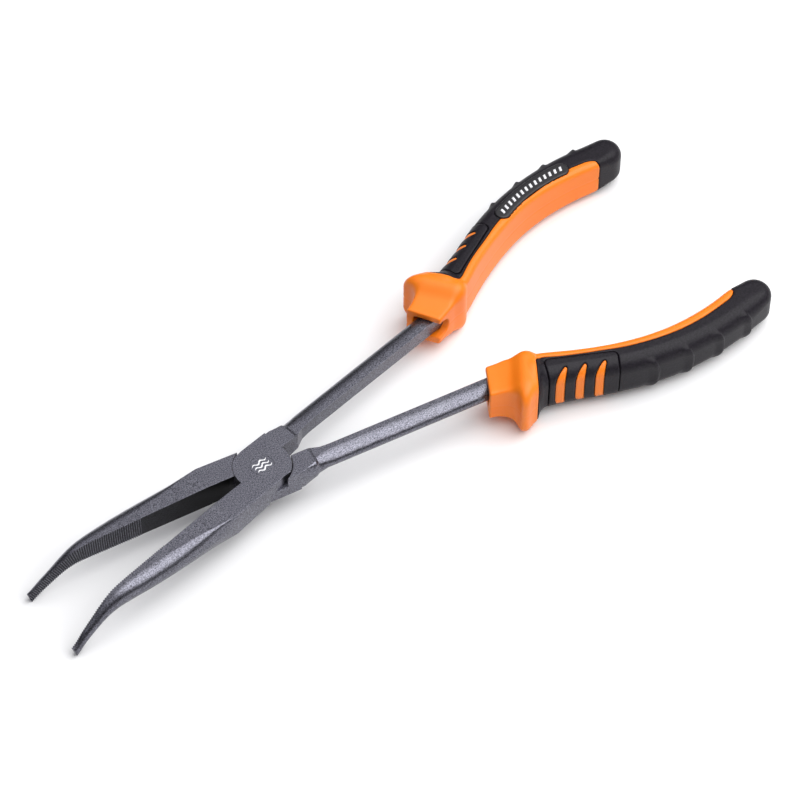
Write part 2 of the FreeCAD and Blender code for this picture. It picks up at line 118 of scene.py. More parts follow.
# ---- claw pad, its groove and its claws
PAD_CORNERS = ((104.2, 10.9), (125.0, 17.9), (121.9, 27.0), (101.1, 24.5))  # inside the corner rounding
PAD_ROUND = 1.9
PAD_GROOVE = 0.25
PAD_DEPTH = 1.5
PAD_PROUD = 0.15
PAD_POCKET_EDGE = 0.15
CLAW_COUNT = 3
CLAW_STEP = (6.65, 1.85)
CLAW_GAP = 0.08
CLAW_EDGE = 0.2
CLAW_SUNK = 0.05
CLAW_LIMIT = 0.5  # the claws cut into the soft grip up to this far outside the pad
CLAW_TIP = (108.05, 15.05)
CLAW_TIP_RADIUS = 0.6
CLAW_TIP_ARC = range(-125, 56, 30)  # degrees
CLAW_FRONT = ((106.0, 15.35), (104.3, 16.25), (102.9, 17.1), (101.3, 22.5))
CLAW_REAR = ((107.2, 16.95), (106.3, 18.0), (104.9, 23.3))

# ---- badge plate, in one face of each grip
BADGE_LINE = ((135.2, 18.1), (149.5, 19.7), (164.9, 17.9))
BADGE_HALF_WIDTH = 2.9
BADGE_PROUD = 0.35
BADGE_DEPTH = 1.0
BADGE_EDGE = 0.25
BADGE_SKIRT = 5.0  # the plate stays at least this far above or below the grip's middle

# ---- printed marks
BAR_COUNT = 14
BAR_WIDTH = 1.0
BAR_HEIGHT = 1.9
BAR_SLANT = 0.35
BAR_MARGIN = 0.2
BAR_STEPS = 5
WAVE_ROWS = (-1, 0, 1)
WAVE_ROW_GAP = 1.5
WAVE_LENGTH = 6.0
WAVE_SWING = 0.45
WAVE_CRESTS = 2
WAVE_STEPS = 24
WAVE_HALF_WIDTH = 0.3
WAVE_TAPER = 0.4
WAVE_BLUNT = 0.04  # share of the length at each end that doesn't taper further
PRINT_LIFT = 0.03
INK_THICKNESS = 0.05

# ---- collar: distance along its axis, inner edge, outer edge, middle's height, half height
COLLAR_LEAN = math.radians(22.0)
COLLAR_MOUTH = (83.4, 4.7)
COLLAR_STATIONS = (
    (0.0, -4.9, 7.8, 4.7, 6.7),
    (4.0, -5.9, 7.4, 4.8, 7.0),
    (8.0, -6.9, 7.6, 4.6, 8.1),
    (12.5, -7.4, 8.6, 4.2, 9.5),
    (18.0, -6.6, 8.4, 4.1, 9.3),
)
COLLAR_END = 16.5
COLLAR_RIM = 0.5
COLLAR_FRONT_CORNER = 1.2
COLLAR_REAR_CORNER = 3.0
COLLAR_CHANGE_START = 6.0  # where the corners' radius begins to grow
COLLAR_CHANGE_LENGTH = 6.0
FLANGE_AT = 12.8
FLANGE_HALF = 1.55
FLANGE_RIM = 1.45
FLANGE_TILT = 0.13  # how much squarer than the collar the flange stands to the grip
FLANGE_MIDDLE = 3.0  # it tilts about this line, and its corners change there
FLANGE_INNER = -7.5
FLANGE_OUTER = 13.4
FLANGE_HALF_HEIGHT = 10.3
FLANGE_INNER_CORNER = 2.4
FLANGE_OUTER_CORNER = 5.0
SCOOP_RADIUS = 5.0
FLARE_RADIUS = 5.0  # fillet from the flange's rear face to the grip, at full size on the outer side
FLARE_INNER_SHARE = 0.25
FLARE_INNER = -7.0
FLARE_WIDTH = 6.0
FLARE_FRONT_SHARE = 0.1
FLARE_START = 1.0  # how far ahead of the flange's middle the fillet begins to grow
FLARE_LENGTH = 4.0
MOUTH_INNER = -3.4
MOUTH_OUTER = 5.2
MOUTH_MID_Z = 5.1
MOUTH_HALF_HEIGHT = 3.9
MOUTH_CORNER = 1.4
MOUTH_DEPTH = 7.0
MOUTH_END_ROUND = 0.5
NOTCH_DEPTH = 5.2
NOTCH_HALF_HEIGHT = 3.7
NOTCH_WALL = 1.5  # how far inside the mouth the notch ends

# ---- painted shade on the jaws' gripping faces: depth below the closing plane and places along the jaw, from and to
PAINTED_SHADE_DEPTH = (0.12, 0.3)
PAINTED_SHADE_START = (-7.0, -12.0)
PAINTED_SHADE_FADE = (-46.0, -15.0)

# ---- backdrop, in metres: x and height under the jaw tips and under the grips
FLOOR_AT_TIPS = (-0.0866, -0.0122)
FLOOR_AT_GRIPS = (0.17, -0.0056)
FLOOR_REACH = 3.0


# ------------------------------------------------------------------ shapes as distance fields, in mm


def both(a, b, edge):
    """Where two shapes overlap, with the edge between them rounded."""
    flat = np.minimum(np.maximum(a, b), -edge)
    return flat + np.hypot(np.maximum(a + edge, 0.0), np.maximum(b + edge, 0.0))


def either(a, b, fillet):
    """Two shapes joined, with a fillet in the corner between them."""
    flat = np.maximum(np.minimum(a, b), fillet)
    return flat - np.hypot(np.maximum(fillet - a, 0.0), np.maximum(fillet - b, 0.0))


def ease(t):
    """A slow start and a slow stop between zero and one."""
    return t * t * (3 - 2 * t)


def curve_through(stations, column):
    """The column of a table as a smooth function of its first column."""
    rows = np.array(stations)
    x = rows[:, 0]
    y = rows[:, column]
    slopes = np.gradient(y, x)

    def value(at):
        at = np.clip(at, x[0], x[-1])
        i = np.clip(np.searchsorted(x, at) - 1, 0, len(x) - 2)
        span = x[i + 1] - x[i]
        t = (at - x[i]) / span
        start = y[i] * (1 + 2 * t) * (1 - t) ** 2
        start = start + slopes[i] * span * t * (1 - t) ** 2
        end = y[i + 1] * t * t * (3 - 2 * t)
        return start + end + slopes[i + 1] * span * t * t * (t - 1)

    return value


centre_y = curve_through(GRIP_STATIONS, 1)
half_width = curve_through(GRIP_STATIONS, 2)
half_height = curve_through(GRIP_STATIONS, 3)


class Plan:
    """Where points seen from above lie on the grip: their stations, and how far across or past its ends."""

    def __init__(self, x, y):
        place = np.linspace(GRIP_STATIONS[0][0], GRIP_STATIONS[-1][0], GRIP_LINE_POINTS)
        line = np.stack([place, centre_y(place)], 1)
        step = np.gradient(line, axis=0)
        step /= np.linalg.norm(step, axis=1)[:, None]
        gap = (x[..., None] - line[:, 0]) ** 2 + (y[..., None] - line[:, 1]) ** 2
        nearest = np.argmin(gap, axis=-1)
        off_x = x - line[nearest, 0]
        off_y = y - line[nearest, 1]
        ahead = step[nearest]
        self.x = x
        self.y = y
        self.across = off_y * ahead[..., 0] - off_x * ahead[..., 1]
        along = off_x * ahead[..., 0] + off_y * ahead[..., 1]
        self.station = place[nearest] + along * ahead[..., 0]
        self.before = (line[0, 0] - x) * step[0, 0] + (line[0, 1] - y) * step[0, 1]
        self.beyond = (x - line[-1, 0]) * step[-1, 0] + (y - line[-1, 1]) * step[-1, 1]


def grip_body(plan, z, offset=0.0, ribs=False, with_end=True):
    """The grip's outer shape, grown by an offset."""
    width = half_width(plan.station) + offset
    height = half_height(plan.station) + offset
    if ribs:
        width = width + rib_height(plan, z)
    outside = ease(np.clip(plan.across / EDGE_CHANGE_WIDTH + 0.5, 0, 1))
    near_end = ease(np.clip((plan.beyond + END_CHANGE_START) / END_CHANGE_LENGTH, 0, 1))
    inner_edge = INNER_EDGE_RADIUS + (END_EDGE_RADIUS - INNER_EDGE_RADIUS) * near_end
    outer_edge = OUTER_EDGE_RADIUS + (END_EDGE_RADIUS - OUTER_EDGE_RADIUS) * near_end
    edge = inner_edge + (outer_edge - inner_edge) * outside + offset
    edge = np.maximum(edge, LEAST_EDGE_RADIUS)
    outline = np.abs(plan.across) - width
    if with_end:
        outline = both(outline, plan.beyond - END_LENGTH - offset, END_ROUND + offset)
    body = both(outline, np.abs(z - GRIP_MID_Z) - height, edge)
    if not with_end:
        body = np.maximum(body, plan.beyond + CORE_END)
    return np.maximum(body, plan.before)


def rib_height(plan, z):
    """Four low crescent ribs on the outer side, each with a slow rise and a short drop behind its crest."""
    level = (z - RIB_MID_Z) / RIB_REACH
    fade = np.clip((RIB_END - np.abs(level)) * RIB_FADE, 0, 1)
    total = 0.0
    for place in RIB_PLACES:
        behind = place - RIB_BOW * level**2 - plan.station
        rise = ease(np.clip(1 - behind / RIB_RISE, 0, 1))
        drop = np.clip(1 + behind / RIB_DROP, 0, 1)
        total = total + RIB_HEIGHT * fade * np.where(behind > 0, rise, drop)
    return np.where(plan.across > 0, total, 0.0)


def outline_field(plan, corners):
    """Distance outside (plus) or inside (minus) a closed outline of (x, y) points seen from above."""
    start = np.array(corners, float)
    end = np.roll(start, -1, axis=0)
    nearest = np.full(plan.x.shape, FAR)
    inside = np.zeros(plan.x.shape, bool)
    for (ax, ay), (bx, by) in zip(start, end):
        run_x = bx - ax
        run_y = by - ay
        length = run_x * run_x + run_y * run_y
        if length == 0:
            continue
        t = np.clip(((plan.x - ax) * run_x + (plan.y - ay) * run_y) / length, 0, 1)
        nearest = np.minimum(nearest, np.hypot(plan.x - ax - t * run_x, plan.y - ay - t * run_y))
        if ay != by:
            level = (plan.y - ay) / (by - ay)
            inside ^= ((ay > plan.y) != (by > plan.y)) & (plan.x < ax + level * run_x)
    return np.where(inside, -nearest, nearest)


def bend(start, corner, end):
    """Points of a rounded corner."""
    points = []
    for i in range(BEND_STEPS + 1):
        t = i / BEND_STEPS
        x = start[0] * (1 - t) ** 2 + corner[0] * 2 * t * (1 - t) + end[0] * t * t
        y = start[1] * (1 - t) ** 2 + corner[1] * 2 * t * (1 - t) + end[1] * t * t
        points.append((x, y))
    return points


def soft_outline():
    """What the soft grip covers, seen from above."""
    border = curve_through(SOFT_BORDER, 1)
    x = np.linspace(SOFT_BORDER[0][0], SOFT_BORDER[-1][0], SOFT_BORDER_POINTS)
    points = list(zip(x, border(x)))
    seam_top, seam_low = CAP_SEAM
    points += bend(points[-1], CAP_BEND, seam_top)
    points += [seam_low, *SOFT_OUTSIDE, SOFT_FRONT_OUTER]
    points += bend(SOFT_FRONT_START, SOFT_FRONT_BEND, SOFT_BORDER[0])
    return points


def claw_outline(index):
    """One claw seen from above: its front edge, its rear edge and its rounded tip."""
    tip = []
    for degrees in CLAW_TIP_ARC:
        turn = math.radians(degrees)
        x = CLAW_TIP[0] + CLAW_TIP_RADIUS * math.cos(turn)
        y = CLAW_TIP[1] + CLAW_TIP_RADIUS * math.sin(turn)
        tip.append((x, y))
    shape = list(CLAW_FRONT[::-1]) + tip + list(CLAW_REAR)
    return [(x + CLAW_STEP[0] * index, y + CLAW_STEP[1] * index) for x, y in shape]


def claws_field(plan):
    """Distance from the nearest claw."""
    total = np.full(plan.x.shape, FAR)
    for index in range(CLAW_COUNT):
        total = np.minimum(total, outline_field(plan, claw_outline(index)))
    return total


def badge_field(plan):
    """The badge plate's oblong, bent along the arc through the badge line's three points."""
    (ax, ay), (bx, by), (cx, cy) = BADGE_LINE
    d = 2 * (ax * (by - cy) + bx * (cy - ay) + cx * (ay - by))
    a2 = ax * ax + ay * ay
    b2 = bx * bx + by * by
    c2 = cx * cx + cy * cy
    mid_x = (a2 * (by - cy) + b2 * (cy - ay) + c2 * (ay - by)) / d
    mid_y = (a2 * (cx - bx) + b2 * (ax - cx) + c2 * (bx - ax)) / d
    radius = math.hypot(ax - mid_x, ay - mid_y)
    away = np.hypot(plan.x - mid_x, plan.y - mid_y) - radius
    first = np.hypot(plan.x - ax, plan.y - ay)
    last = np.hypot(plan.x - cx, plan.y - cy)
    middle = np.where((plan.x > ax) & (plan.x < cx), np.abs(away), np.minimum(first, last))
    return middle - BADGE_HALF_WIDTH


def collar_place(plan):
    """Distance along the collar's axis, and across it."""
    c = math.cos(COLLAR_LEAN)
    s = math.sin(COLLAR_LEAN)
    x = plan.x - COLLAR_MOUTH[0]
    y = plan.y - COLLAR_MOUTH[1]
    return x * c + y * s, y * c - x * s


def collar_field(plan, z):
    """The flared collar and the rounded flange that stops the hand."""
    run, side = collar_place(plan)
    inner = curve_through(COLLAR_STATIONS, 1)(run)
    outer = curve_through(COLLAR_STATIONS, 2)(run)
    level = curve_through(COLLAR_STATIONS, 3)(run)
    height = curve_through(COLLAR_STATIONS, 4)(run)
    across = np.abs(side - (inner + outer) / 2) - (outer - inner) / 2
    behind = np.clip((run - COLLAR_CHANGE_START) / COLLAR_CHANGE_LENGTH, 0, 1)
    corner = COLLAR_FRONT_CORNER + (COLLAR_REAR_CORNER - COLLAR_FRONT_CORNER) * behind
    tube = both(across, np.abs(z - level) - height, corner)
    tube = both(tube, np.maximum(-run, run - COLLAR_END), COLLAR_RIM)
    across = np.abs(side - (FLANGE_INNER + FLANGE_OUTER) / 2) - (FLANGE_OUTER - FLANGE_INNER) / 2
    corner = np.where(side < FLANGE_MIDDLE, FLANGE_INNER_CORNER, FLANGE_OUTER_CORNER)
    plate = both(across, np.abs(z - GRIP_MID_Z) - FLANGE_HALF_HEIGHT, corner)
    from_middle = run - FLANGE_AT + FLANGE_TILT * (side - FLANGE_MIDDLE)
    plate = both(plate, np.abs(from_middle) - FLANGE_HALF, FLANGE_RIM)
    return either(tube, plate, SCOOP_RADIUS)


def flare_radius(plan):
    """Fillet between the collar and the grip: tight in front of the flange, wide behind it."""
    run, side = collar_place(plan)
    past = np.clip((run - FLANGE_AT + FLARE_START) / FLARE_LENGTH, 0, 1)
    outward = np.clip((side - FLARE_INNER) / FLARE_WIDTH, FLARE_INNER_SHARE, 1)
    return FLARE_RADIUS * np.maximum(ease(past) * outward, FLARE_FRONT_SHARE)


def mouth_field(plan, z):
    """The opening round the shaft, and the notch in its inner wall."""
    run, side = collar_place(plan)
    across = np.abs(side - (MOUTH_INNER + MOUTH_OUTER) / 2) - (MOUTH_OUTER - MOUTH_INNER) / 2
    tunnel = both(across, np.abs(z - MOUTH_MID_Z) - MOUTH_HALF_HEIGHT, MOUTH_CORNER)
    tunnel = both(tunnel, run - MOUTH_DEPTH, MOUTH_END_ROUND)
    run_past = np.maximum(run - (NOTCH_DEPTH - NOTCH_HALF_HEIGHT), 0.0)
    notch = np.hypot(run_past, z - MOUTH_MID_Z) - NOTCH_HALF_HEIGHT
    notch = np.maximum(notch, side - (MOUTH_INNER + NOTCH_WALL))
    return np.minimum(tunnel, notch)


# ------------------------------------------------------------------ from field to mesh


def skin(field):
    """Vertices and quads of the field's zero level: one vertex for each grid cell that it crosses."""
    size = np.array(field.shape)
    inside = field < 0
    keys = []
    points = []
    flips = []
    for axis in range(3):
        low = [slice(None)] * 3
        high = [slice(None)] * 3
        low[axis] = slice(0, -1)
        high[axis] = slice(1, None)
        cross = inside[tuple(low)] != inside[tuple(high)]
        cell = np.argwhere(cross)
        cell = cell[(cell > 0).all(axis=1) & (cell < size - 1).all(axis=1)]
        other = cell.copy()
        other[:, axis] += 1
        a = field[tuple(cell.T)]
        b = field[tuple(other.T)]
        point = cell.astype(float)
        point[:, axis] += a / (a - b)
        u = (axis + 1) % 3
        v = (axis + 2) % 3
        ring = []
        for du, dv in ((0, 0), (1, 0), (1, 1), (0, 1)):
            corner = cell.copy()
            corner[:, u] -= du
            corner[:, v] -= dv
            ring.append(np.ravel_multi_index(tuple(corner.T), tuple(size)))
        keys.append(np.stack(ring, 1))
        points.append(np.repeat(point[:, None, :], 4, axis=1))
        flips.append(a < 0)
    ring = np.concatenate(keys)
    point = np.concatenate(points).reshape(-1, 3)
    unique, index = np.unique(ring.ravel(), return_inverse=True)
    index = index.ravel()
    count = np.bincount(index, minlength=len(unique))
    vertex = np.stack([np.bincount(index, point[:, i], len(unique)) / count for i in range(3)], 1)
    quads = index.reshape(-1, 4)
    flip = np.concatenate(flips)
    quads[flip] = quads[flip][:, ::-1]
    return vertex * GRID_STEP + np.array(GRID_LOW), quads


def to_rest(points, side):
    """From the closed pose of the right lever, in mm, to the rest pose of either side, in metres."""
    turn = REST_TURN if side == "right" else -REST_TURN
    mirror = 1.0 if side == "right" else -1.0
    x = points[:, 0]
    y = points[:, 1] * mirror
    out_x = x * math.cos(turn) - y * math.sin(turn)
    out_y = x * math.sin(turn) + y * math.cos(turn)
    return np.stack([out_x, out_y, points[:, 2]], 1) * MM


def add_mesh(name, points, faces, material, side, smooth=True):
    """A mesh piece of one side, riding on its lever."""
    if side == "left":
        faces = np.array(faces)[:, ::-1]
    mesh = bpy.data.meshes.new(name)
    mesh.from_pydata(to_rest(np.array(points), side).tolist(), [], np.array(faces).tolist())
    mesh.update()
    if smooth:
        mesh.shade_smooth()
    mesh.materials.append(material)
    piece = bpy.data.objects.new(name, mesh)
    bpy.context.scene.collection.objects.link(piece)
    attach(piece, side + "_lever")
    return piece


def grid():
    """Plan and heights of the grid that every grip is drawn on, in mm."""
    axes = [np.arange(low, high, GRID_STEP) for low, high in zip(GRID_LOW, GRID_HIGH)]
    x, y = np.meshgrid(axes[0], axes[1], indexing="ij")
    return Plan(x[..., None], y[..., None]), axes[2][None, None, :]


def away_from_badge(z, side):
    """Above zero outside the layer that holds the badge plate: high in the right grip, low in the left."""
    if side == "right":
        return GRIP_MID_Z + BADGE_SKIRT - z
    return z - GRIP_MID_Z + BADGE_SKIRT


# ------------------------------------------------------------------ materials


def linear(hex_colour):
    """sRGB hex to linear RGBA."""
    out = []
    for i in (1, 3, 5):
        c = int(hex_colour[i : i + 2], 16) / 255
        out.append(c / 12.92 if c <= 0.04045 else ((c + 0.055) / 1.055) ** 2.4)
    return (*out, 1.0)


def add_node(tree, kind, settings=None, inputs=None):
    """Adds a node with its settings and its input values or links."""
    node = tree.nodes.new(kind)
    for key, value in (settings or {}).items():
        setattr(node, key, value)
    for key, value in (inputs or {}).items():
        if isinstance(value, bpy.types.NodeSocket):
            tree.links.new(value, node.inputs[key])
        else:
            node.inputs[key].default_value = value
    return node


def new_material(name):
    """An empty material with its shader and the object's own coordinates, in metres."""
    material = bpy.data.materials.new(name)
    material.use_nodes = True
    tree = material.node_tree
    shader = tree.nodes["Principled BSDF"]
    where = add_node(tree, "ShaderNodeTexCoord").outputs["Object"]
    return material, tree, shader, where


def speckled_steel_coat():
    """Satin non-stick coat sprayed on forged steel: gunmetal, with a fine glittering speckle of flakes.

    The flakes are about 0.1 mm in the real coat. They are drawn at 0.4 mm so that they show. The gripping
    faces get painted shade, near black down in their grooves and recesses. Every edge is eased by a quarter
    of a millimetre, so that it catches the light.
    """
    material, tree, shader, where = new_material("speckled_steel_coat")
    flake = add_node(
        tree, "ShaderNodeTexNoise", inputs={"Vector": where, "Scale": 1 / (0.4 * MM), "Detail": 2.0}
    )
    patch = add_node(
        tree, "ShaderNodeTexNoise", inputs={"Vector": where, "Scale": 1 / (6 * MM), "Detail": 3.0}
    )
    tone = add_node(tree, "ShaderNodeValToRGB", inputs={"Fac": flake.outputs["Fac"]})
    tone.color_ramp.elements[0].position = 0.34
    tone.color_ramp.elements[0].color = linear("#4A4A4F")
    tone.color_ramp.elements[1].position = 0.68
    tone.color_ramp.elements[1].color = linear("#8A8A94")
    shade = add_node(
        tree,
        "ShaderNodeMix",
        {"data_type": "RGBA", "blend_type": "MULTIPLY"},
        {0: patch.outputs["Fac"], 6: tone.outputs["Color"], 7: linear("#E2E1E6")},
    )
    # painted shade: the grooves and the recessed plain part of the gripping faces are mixed toward near
    # black
    painted_shade = add_node(
        tree,
        "ShaderNodeMix",
        {"data_type": "RGBA"},
        {0: painted_recess_shade(tree, where), 6: shade.outputs[2], 7: linear("#0E0E10")},
    )
    rough = add_node(
        tree, "ShaderNodeMapRange", inputs={"Value": flake.outputs["Fac"], "To Min": 0.24, "To Max": 0.36}
    )
    eased = add_node(tree, "ShaderNodeBevel", {"samples": 4}, {"Radius": 0.25 * MM})
    bump = add_node(
        tree,
        "ShaderNodeBump",
        inputs={
            "Height": flake.outputs["Fac"],
            "Strength": 0.45,
            "Distance": 0.05 * MM,
            "Normal": eased.outputs["Normal"],
        },
    )
    tree.links.new(painted_shade.outputs[2], shader.inputs["Base Color"])
    tree.links.new(rough.outputs["Result"], shader.inputs["Roughness"])
    tree.links.new(bump.outputs["Normal"], shader.inputs["Normal"])
    shader.inputs["Metallic"].default_value = 0.85
    return material


def painted_recess_shade(tree, where):
    """Painted shade: near one down in the grooves and along the plain part of the gripping faces, and
    nothing elsewhere.

    It goes by the depth below the closing plane, which is the same for both jaws at rest.
    """
    place = add_node(tree, "ShaderNodeSeparateXYZ", inputs={"Vector": where})
    facing_way = add_node(tree, "ShaderNodeTexCoord").outputs["Normal"]
    looks = add_node(tree, "ShaderNodeSeparateXYZ", inputs={"Vector": facing_way})
    jaw_side = add_node(tree, "ShaderNodeMath", {"operation": "SIGN"}, {0: place.outputs["Y"]})
    inward = add_node(
        tree, "ShaderNodeMath", {"operation": "MULTIPLY"}, {0: jaw_side.outputs[0], 1: looks.outputs["Y"]}
    )
    faces_in = add_node(
        tree, "ShaderNodeMapRange", inputs={"Value": inward.outputs[0], "From Min": -0.3, "From Max": -0.6}
    )
    sideways = add_node(tree, "ShaderNodeMath", {"operation": "ABSOLUTE"}, {0: place.outputs["Y"]})
    square_on = add_node(
        tree, "ShaderNodeMath", {"operation": "MULTIPLY"}, {0: sideways.outputs[0], 1: math.cos(REST_TURN)}
    )
    depth = add_node(
        tree,
        "ShaderNodeMath",
        {"operation": "MULTIPLY_ADD"},
        {0: place.outputs["X"], 1: math.sin(REST_TURN), 2: square_on.outputs[0]},
    )
    low = add_node(
        tree,
        "ShaderNodeMapRange",
        inputs={
            "Value": depth.outputs[0],
            "From Min": PAINTED_SHADE_DEPTH[0] * MM,
            "From Max": PAINTED_SHADE_DEPTH[1] * MM,
        },
    )
    ahead = add_node(
        tree,
        "ShaderNodeMapRange",
        inputs={
            "Value": place.outputs["X"],
            "From Min": PAINTED_SHADE_START[0] * MM,
            "From Max": PAINTED_SHADE_START[1] * MM,
        },
    )
    fade = add_node(
        tree,
        "ShaderNodeMapRange",
        inputs={
            "Value": place.outputs["X"],
            "From Min": PAINTED_SHADE_FADE[0] * MM,
            "From Max": PAINTED_SHADE_FADE[1] * MM,
            "To Min": 0.8,
            "To Max": 1.0,
        },
    )
    amount = faces_in.outputs["Result"]
    for factor in (low, ahead, fade):
        product = add_node(
            tree, "ShaderNodeMath", {"operation": "MULTIPLY"}, {0: amount, 1: factor.outputs["Result"]}
        )
        amount = product.outputs[0]
    return amount


def orange_polypropylene():
    """Injection-moulded polypropylene: bright orange, semi-gloss, with a very fine spark-eroded texture."""
    material, tree, shader, where = new_material("orange_polypropylene")
    grain = add_node(
        tree, "ShaderNodeTexNoise", inputs={"Vector": where, "Scale": 1 / (0.5 * MM), "Detail": 2.0}
    )
    flow = add_node(
        tree, "ShaderNodeTexNoise", inputs={"Vector": where, "Scale": 1 / (15 * MM), "Detail": 1.0}
    )
    tone = add_node(
        tree,
        "ShaderNodeMix",
        {"data_type": "RGBA"},
        {0: flow.outputs["Fac"], 6: linear("#F07A14"), 7: linear("#F4811A")},
    )
    bump = add_node(
        tree,
        "ShaderNodeBump",
        inputs={"Height": grain.outputs["Fac"], "Strength": 0.25, "Distance": 0.02 * MM},
    )
    tree.links.new(tone.outputs[2], shader.inputs["Base Color"])
    tree.links.new(bump.outputs["Normal"], shader.inputs["Normal"])
    shader.inputs["Roughness"].default_value = 0.4
    shader.inputs["IOR"].default_value = 1.49
    shader.inputs["Specular IOR Level"].default_value = 0.38
    shader.inputs["Subsurface Weight"].default_value = 0.12
    shader.inputs["Subsurface Radius"].default_value = (1.0, 0.35, 0.1)
    shader.inputs["Subsurface Scale"].default_value = 1.5 * MM
    return material


def black_soft_rubber():
    """Over-moulded thermoplastic rubber: near black and soft, with a fine grain that spreads highlights."""
    material, tree, shader, where = new_material("black_soft_rubber")
    grain = add_node(
        tree, "ShaderNodeTexNoise", inputs={"Vector": where, "Scale": 1 / (0.6 * MM), "Detail": 3.0}
    )
    tone = add_node(tree, "ShaderNodeValToRGB", inputs={"Fac": grain.outputs["Fac"]})
    tone.color_ramp.elements[0].position = 0.3
    tone.color_ramp.elements[0].color = linear("#121015")
    tone.color_ramp.elements[1].position = 0.75
    tone.color_ramp.elements[1].color = linear("#252128")
    bump = add_node(
        tree,
        "ShaderNodeBump",
        inputs={"Height": grain.outputs["Fac"], "Strength": 0.8, "Distance": 0.08 * MM},
    )
    tree.links.new(tone.outputs["Color"], shader.inputs["Base Color"])
    tree.links.new(bump.outputs["Normal"], shader.inputs["Normal"])
    shader.inputs["Roughness"].default_value = 0.44
    shader.inputs["Specular IOR Level"].default_value = 0.2
    shader.inputs["IOR"].default_value = 1.5
    return material


def black_badge_plastic():
    """Moulded ABS badge: smooth matt black, cleaner than the rubber round it."""
    material, tree, shader, where = new_material("black_badge_plastic")
    grain = add_node(
        tree, "ShaderNodeTexNoise", inputs={"Vector": where, "Scale": 1 / (0.8 * MM), "Detail": 2.0}
    )
    rough = add_node(
        tree, "ShaderNodeMapRange", inputs={"Value": grain.outputs["Fac"], "To Min": 0.42, "To Max": 0.5}
    )
    tree.links.new(rough.outputs["Result"], shader.inputs["Roughness"])
    shader.inputs["Base Color"].default_value = linear("#151317")
    shader.inputs["IOR"].default_value = 1.54
    return material


def white_print():
    """Pad-printed white ink: thin and flat, worn a little at the grain's peaks."""
    material, tree, shader, where = new_material("white_print")
    wear = add_node(
        tree, "ShaderNodeTexNoise", inputs={"Vector": where, "Scale": 1 / (0.6 * MM), "Detail": 2.0}
    )
    tone = add_node(tree, "ShaderNodeValToRGB", inputs={"Fac": wear.outputs["Fac"]})
    tone.color_ramp.elements[0].position = 0.3
    tone.color_ramp.elements[0].color = linear("#C9C9CE")
    tone.color_ramp.elements[1].position = 0.55
    tone.color_ramp.elements[1].color = linear("#F2F2F4")
    tree.links.new(tone.outputs["Color"], shader.inputs["Base Color"])
    shader.inputs["Roughness"].default_value = 0.55
    return material


def studio_floor():
    """A sheet of plain white backdrop paper, with hardly any tooth."""
    material, tree, shader, where = new_material("white_backdrop_paper")
    tooth = add_node(
        tree, "ShaderNodeTexNoise", inputs={"Vector": where, "Scale": 1 / (2 * MM), "Detail": 2.0}
    )
    bump = add_node(
        tree,
        "ShaderNodeBump",
        inputs={"Height": tooth.outputs["Fac"], "Strength": 0.05, "Distance": 0.02 * MM},
    )
    tree.links.new(bump.outputs["Normal"], shader.inputs["Normal"])
    shader.inputs["Base Color"].default_value = linear("#F0F0F0")
    shader.inputs["Roughness"].default_value = 0.9
    return material


STEEL = speckled_steel_coat()
ORANGE = orange_polypropylene()
RUBBER = black_soft_rubber()
BADGE = black_badge_plastic()
PRINT = white_print()


# ------------------------------------------------------------------ pieces


def coat_steel():
    """The levers and the rivet keep their CAD shapes and get the coat."""
    for name in ("lever_right", "lever_left", "pivot_rivet"):
        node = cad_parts[name]
        node.data.materials.clear()
        node.data.materials.append(STEEL)


class Grip:
    """What the four moulded pieces of one grip are cut from, as fields on one grid."""

    def __init__(self, side):
        plan, z = grid()
        collar = collar_field(plan, z)
        flare = flare_radius(plan)
        self.body = either(grip_body(plan, z), collar, flare)
        self.ribbed = either(grip_body(plan, z, ribs=True), collar, flare)
        self.heart = grip_body(plan, z, -SOFT_THICKNESS, with_end=False)
        self.mouth = mouth_field(plan, z)
        self.soft_region = outline_field(plan, soft_outline())
        self.pad_region = outline_field(plan, PAD_CORNERS) - PAD_ROUND
        self.claws = claws_field(plan)
        self.parting = PARTING_DEPTH * np.exp(-(((z - GRIP_MID_Z) / PARTING_WIDTH) ** 2))
        self.badge_region = badge_field(plan)
        self.away = away_from_badge(z, side)
        pocket_floor = np.maximum(self.away, -(self.body + BADGE_DEPTH))
        self.badge_pocket = np.maximum(self.badge_region - PART_LINE, pocket_floor)


def grip_core(grip):
    """The hard core: collar, inner face and claws, and the heart that the soft grip is moulded over."""
    shell = both(grip.body + grip.parting, PART_LINE - grip.soft_region, MOULD_EDGE)
    claws = np.maximum(both(grip.body + CLAW_SUNK, grip.claws, MOULD_EDGE), grip.pad_region)
    core = np.minimum(np.minimum(shell, grip.heart), claws)
    core = both(core, -grip.mouth, MOULD_EDGE)
    return np.maximum(core, -grip.badge_pocket)


def soft_grip(grip):
    """The soft outer half and the end cap, with pockets for the claw pad, the claws and the badge plate."""
    soft = both(grip.ribbed, grip.soft_region + PART_LINE, MOULD_EDGE)
    soft = np.maximum(soft, PART_LINE - grip.heart)
    pad_pocket = np.maximum(grip.pad_region, -(grip.body + PAD_DEPTH))
    soft = both(soft, -pad_pocket, PAD_POCKET_EDGE)
    soft = np.maximum(soft, -grip.badge_pocket)
    return np.maximum(soft, PART_LINE - grip.claws - FAR * (grip.pad_region > CLAW_LIMIT))


def claw_pad(grip):
    """The pad in the soft grip's pocket, slotted round the claws."""
    pad = both(grip.body - PAD_PROUD, grip.pad_region + PAD_GROOVE, MOULD_EDGE)
    pad = np.maximum(pad, PART_LINE - grip.body - PAD_DEPTH)
    return both(pad, CLAW_GAP - grip.claws, CLAW_EDGE)


def badge_plate(grip):
    """The plate in the grip's face that carries the print."""
    plate = both(grip.body - BADGE_PROUD, grip.badge_region + PART_LINE, BADGE_EDGE)
    return np.maximum(plate, np.maximum(grip.away, PART_LINE - grip.body - BADGE_DEPTH))


